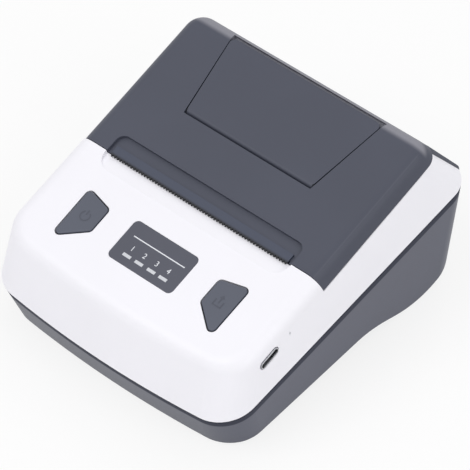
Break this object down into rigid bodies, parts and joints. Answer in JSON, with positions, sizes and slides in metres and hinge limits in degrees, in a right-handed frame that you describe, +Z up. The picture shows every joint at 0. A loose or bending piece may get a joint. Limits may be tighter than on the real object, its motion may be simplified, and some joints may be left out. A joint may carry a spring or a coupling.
{
  "type": "thermal receipt printer",
  "caption": "Portable 80 mm thermal receipt printer, white and dark grey, with a hinged paper cover, lift lever, two keys, status window and USB-C socket.",
  "frame": {"origin": "on the table, under the middle of the printer's box", "axes": "+X to the printer's right, -Y to its front, +Z up"},
  "size_m": [0.114, 0.1317, 0.0702],
  "materials": {
    "white_plastic": "satin",
    "dark_plastic": "satin",
    "inner_plastic": "matte",
    "gear_plastic": "satin",
    "steel": "satin",
    "motor_can": "satin",
    "head_aluminium": "satin",
    "head_ceramic": "gloss",
    "rubber": "matte",
    "board_green": "satin",
    "window_lens": "gloss",
    "light_white": "gloss",
    "battery_wrap": "satin",
    "cable_film": "satin"
  },
  "bodies": {
    "base": {"lower_housing": "dark_plastic", "upper_housing": "white_plastic", "mechanism_frame": "steel", "mechanism_screws": "steel", "head_pivot_shaft": "steel", "idler_pin": "steel", "stepper_motor": "motor_can", "main_board": "board_green", "board_screws": "steel", "board_components": "inner_plastic", "status_leds": "light_white", "light_pipes": "light_white", "status_window": "window_lens", "power_switch": "inner_plastic", "feed_switch": "inner_plastic", "usb_socket": "steel", "battery_pack": "battery_wrap", "paper_tray": "inner_plastic", "paper_sensor": "inner_plastic", "head_cable": "cable_film", "rubber_feet": "rubber", "housing_screws": "steel", "hinge_pin": "steel", "head_springs": "steel"},
    "cover": {"paper_cover": "dark_plastic", "cover_liner": "inner_plastic", "cover_screws": "steel", "tear_bar": "steel", "lever_pin": "steel", "platen_bushes": "inner_plastic"},
    "lever": {"cover_lever": "dark_plastic"},
    "latch": {"latch_slide": "inner_plastic"},
    "platen": {"platen_shaft": "steel", "platen_roller": "rubber", "platen_gear": "gear_plastic"},
    "idler": {"idler_gear": "gear_plastic"},
    "motor": {"motor_pinion": "gear_plastic", "motor_shaft": "steel"},
    "head": {"head_heatsink": "head_aluminium", "print_head": "head_ceramic"},
    "power_key": {"power_button": "dark_plastic"},
    "feed_key": {"feed_button": "dark_plastic"},
    "door": {"battery_door": "dark_plastic"}
  },
  "joints": [
    {"name": "cover_hinge", "type": "hinge", "parent": "base", "child": "cover", "pos_m": [0, 0.0605, 0.042], "axis": [-1, 0, 0], "range_deg": [0, 85]},
    {"name": "lever_pivot", "type": "hinge", "parent": "cover", "child": "lever", "pos_m": [0, 0.0132, 0.05902], "axis": [1, 0, 0], "range_deg": [0, 35], "stiffness_Nm_per_rad": 0.01, "springref_deg": -17.19},
    {"name": "latch_slide_travel", "type": "slide", "parent": "cover", "child": "latch", "axis": [0, 0.9511, 0.309], "range_m": [0, 0.0036]},
    {"name": "platen_spin", "type": "hinge", "parent": "cover", "child": "platen", "pos_m": [0, -0.01, 0.042], "axis": [1, 0, 0], "continuous": true},
    {"name": "idler_spin", "type": "hinge", "parent": "base", "child": "idler", "pos_m": [0, -0.01, 0.02655], "axis": [1, 0, 0], "continuous": true},
    {"name": "motor_spin", "type": "hinge", "parent": "base", "child": "motor", "pos_m": [0, -0.0232, 0.02175], "axis": [1, 0, 0], "continuous": true},
    {"name": "head_tilt", "type": "hinge", "parent": "base", "child": "head", "pos_m": [0, -0.0176, 0.0336], "axis": [1, 0, 0], "range_deg": [0, 1.5], "stiffness_Nm_per_rad": 0.2, "springref_deg": -11.46},
    {"name": "power_key_press", "type": "slide", "parent": "base", "child": "power_key", "axis": [0, 0.309, -0.9511], "range_m": [0, 0.0008], "stiffness_N_per_m": 400, "springref_m": -0.0002},
    {"name": "feed_key_press", "type": "slide", "parent": "base", "child": "feed_key", "axis": [0, 0.309, -0.9511], "range_m": [0, 0.0008], "stiffness_N_per_m": 400, "springref_m": -0.0002},
    {"name": "battery_door_swing", "type": "hinge", "parent": "base", "child": "door", "pos_m": [0, -0.04871, 0.002], "axis": [-1, 0, 0], "range_deg": [0, 70]}
  ],
  "couplings": [
    {"joint": "latch_slide_travel", "follows": "lever_pivot", "m_per_rad": 0.005893},
    {"joint": "idler_spin", "follows": "platen_spin", "ratio": -0.57143},
    {"joint": "motor_spin", "follows": "platen_spin", "ratio": 1.3333}
  ]
}
